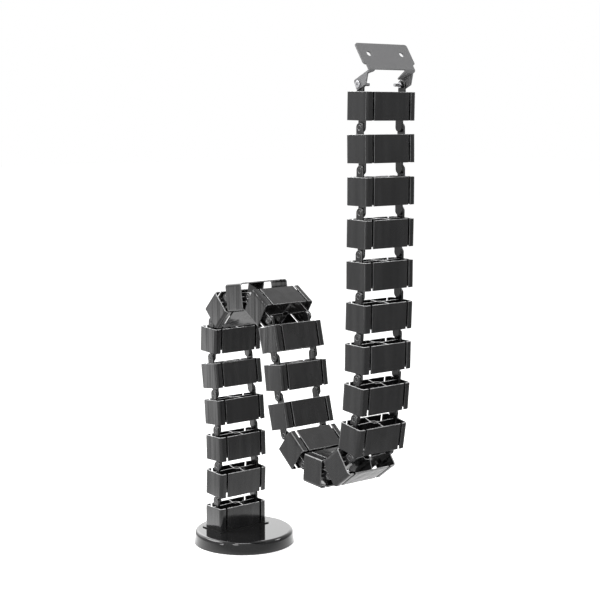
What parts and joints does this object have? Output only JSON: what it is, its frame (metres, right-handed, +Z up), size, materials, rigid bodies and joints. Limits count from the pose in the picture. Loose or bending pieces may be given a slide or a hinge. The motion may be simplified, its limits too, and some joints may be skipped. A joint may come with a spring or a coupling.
{
  "type": "cable spine",
  "caption": "Floor-standing cable spine: hollow channelled boxes hinged into a chain on a round weighted base, with a bent sheet bracket for the underside of a desk.",
  "frame": {"origin": "centre of the base's underside, on the floor", "axes": "+Z up, X along the hinge pins, the chain folds to and fro along Y and its top end stands towards -Y"},
  "size_m": [0.146, 0.3795, 0.6961],
  "materials": {
    "chain_plastic": "smooth semi-gloss black moulding",
    "base_gloss": "high-gloss black moulding",
    "weight_steel": "plain mild steel",
    "base_pad": "soft matt anti-slip pad",
    "foot_plate": "thin black plate",
    "bracket_metal": "mid-grey coated sheet",
    "zinc_steel": "bright zinc-plated steel"
  },
  "bodies": {
    "base": {"base_cover": "base_gloss", "base_weight": "weight_steel", "base_pad": "base_pad", "foot_plate": "foot_plate", "foot_screws": "zinc_steel", "foot_vertebra": "chain_plastic"},
    "vertebra_01": {"vertebra_01": "chain_plastic"},
    "vertebra_02": {"vertebra_02": "chain_plastic"},
    "vertebra_03": {"vertebra_03": "chain_plastic"},
    "vertebra_04": {"vertebra_04": "chain_plastic"},
    "vertebra_05": {"vertebra_05": "chain_plastic"},
    "vertebra_06": {"vertebra_06": "chain_plastic"},
    "vertebra_07": {"vertebra_07": "chain_plastic"},
    "vertebra_08": {"vertebra_08": "chain_plastic"},
    "vertebra_09": {"vertebra_09": "chain_plastic"},
    "vertebra_10": {"vertebra_10": "chain_plastic"},
    "vertebra_11": {"vertebra_11": "chain_plastic"},
    "vertebra_12": {"vertebra_12": "chain_plastic"},
    "vertebra_13": {"vertebra_13": "chain_plastic"},
    "vertebra_14": {"vertebra_14": "chain_plastic"},
    "vertebra_15": {"vertebra_15": "chain_plastic"},
    "vertebra_16": {"vertebra_16": "chain_plastic"},
    "vertebra_17": {"vertebra_17": "chain_plastic"},
    "vertebra_18": {"vertebra_18": "chain_plastic"},
    "vertebra_19": {"vertebra_19": "chain_plastic"},
    "vertebra_20": {"vertebra_20": "chain_plastic"},
    "vertebra_21": {"vertebra_21": "chain_plastic"},
    "vertebra_22": {"vertebra_22": "chain_plastic"},
    "vertebra_23": {"vertebra_23": "chain_plastic"},
    "bracket": {"desk_bracket": "bracket_metal", "bracket_screws": "zinc_steel", "bracket_nuts": "zinc_steel"}
  },
  "joints": [
    {"name": "hinge_01", "type": "hinge", "parent": "base", "child": "vertebra_01", "pos_m": [0, 0.02, 0.0605], "axis": [1, 0, 0], "range_deg": [-48, 42]},
    {"name": "hinge_02", "type": "hinge", "parent": "vertebra_01", "child": "vertebra_02", "pos_m": [0, 0.01728, 0.11243], "axis": [-1, 0, 0], "range_deg": [-50, 40]},
    {"name": "hinge_03", "type": "hinge", "parent": "vertebra_02", "child": "vertebra_03", "pos_m": [0, 0.01909, 0.1644], "axis": [1, 0, 0], "range_deg": [-42, 48]},
    {"name": "hinge_04", "type": "hinge", "parent": "vertebra_03", "child": "vertebra_04", "pos_m": [0, 0.02363, 0.2162], "axis": [-1, 0, 0], "range_deg": [-42, 42]},
    {"name": "hinge_05", "type": "hinge", "parent": "vertebra_04", "child": "vertebra_05", "pos_m": [0, 0.03086, 0.26769], "axis": [1, 0, 0], "range_deg": [-56, 34]},
    {"name": "hinge_06", "type": "hinge", "parent": "vertebra_05", "child": "vertebra_06", "pos_m": [0, 0.02814, 0.31962], "axis": [-1, 0, 0], "range_deg": [-4, 86]},
    {"name": "hinge_07", "type": "hinge", "parent": "vertebra_06", "child": "vertebra_07", "pos_m": [0, -0.00798, 0.35703], "axis": [1, 0, 0], "range_deg": [-83, 7]},
    {"name": "hinge_08", "type": "hinge", "parent": "vertebra_07", "child": "vertebra_08", "pos_m": [0, -0.05948, 0.36426], "axis": [-1, 0, 0], "range_deg": [-5, 85]},
    {"name": "hinge_09", "type": "hinge", "parent": "vertebra_08", "child": "vertebra_09", "pos_m": [0, -0.10357, 0.33671], "axis": [1, 0, 0], "range_deg": [-89, 1]},
    {"name": "hinge_10", "type": "hinge", "parent": "vertebra_09", "child": "vertebra_10", "pos_m": [0, -0.11615, 0.28625], "axis": [-1, 0, 0], "range_deg": [-39, 51]},
    {"name": "hinge_11", "type": "hinge", "parent": "vertebra_10", "child": "vertebra_11", "pos_m": [0, -0.12339, 0.23476], "axis": [1, 0, 0], "range_deg": [-38, 52]},
    {"name": "hinge_12", "type": "hinge", "parent": "vertebra_11", "child": "vertebra_12", "pos_m": [0, -0.13685, 0.18453], "axis": [-1, 0, 0], "range_deg": [-81, 9]},
    {"name": "hinge_13", "type": "hinge", "parent": "vertebra_12", "child": "vertebra_13", "pos_m": [0, -0.17726, 0.15181], "axis": [1, 0, 0], "range_deg": [-10, 80]},
    {"name": "hinge_14", "type": "hinge", "parent": "vertebra_13", "child": "vertebra_14", "pos_m": [0, -0.22913, 0.14818], "axis": [-1, 0, 0], "range_deg": [-86, 4]},
    {"name": "hinge_15", "type": "hinge", "parent": "vertebra_14", "child": "vertebra_15", "pos_m": [0, -0.27066, 0.17947], "axis": [1, 0, 0], "range_deg": [-1, 89]},
    {"name": "hinge_16", "type": "hinge", "parent": "vertebra_15", "child": "vertebra_16", "pos_m": [0, -0.2788, 0.23083], "axis": [-1, 0, 0], "range_deg": [-49, 41]},
    {"name": "hinge_17", "type": "hinge", "parent": "vertebra_16", "child": "vertebra_17", "pos_m": [0, -0.28333, 0.28264], "axis": [1, 0, 0], "range_deg": [-41, 49]},
    {"name": "hinge_18", "type": "hinge", "parent": "vertebra_17", "child": "vertebra_18", "pos_m": [0, -0.28424, 0.33463], "axis": [-1, 0, 0], "range_deg": [-44, 46]},
    {"name": "hinge_19", "type": "hinge", "parent": "vertebra_18", "child": "vertebra_19", "pos_m": [0, -0.28605, 0.3866], "axis": [1, 0, 0], "range_deg": [-43, 47]},
    {"name": "hinge_20", "type": "hinge", "parent": "vertebra_19", "child": "vertebra_20", "pos_m": [0, -0.28605, 0.4386], "axis": [-1, 0, 0], "range_deg": [-44, 46]},
    {"name": "hinge_21", "type": "hinge", "parent": "vertebra_20", "child": "vertebra_21", "pos_m": [0, -0.28696, 0.49059], "axis": [1, 0, 0], "range_deg": [-44, 46]},
    {"name": "hinge_22", "type": "hinge", "parent": "vertebra_21", "child": "vertebra_22", "pos_m": [0, -0.28696, 0.54259], "axis": [-1, 0, 0], "range_deg": [-46, 44]},
    {"name": "hinge_23", "type": "hinge", "parent": "vertebra_22", "child": "vertebra_23", "pos_m": [0, -0.28605, 0.59458], "axis": [1, 0, 0], "range_deg": [-47, 43]},
    {"name": "bracket_hinge", "type": "hinge", "parent": "vertebra_23", "child": "bracket", "pos_m": [0, -0.28696, 0.64657], "axis": [-1, 0, 0], "range_deg": [-38, 85]}
  ]
}
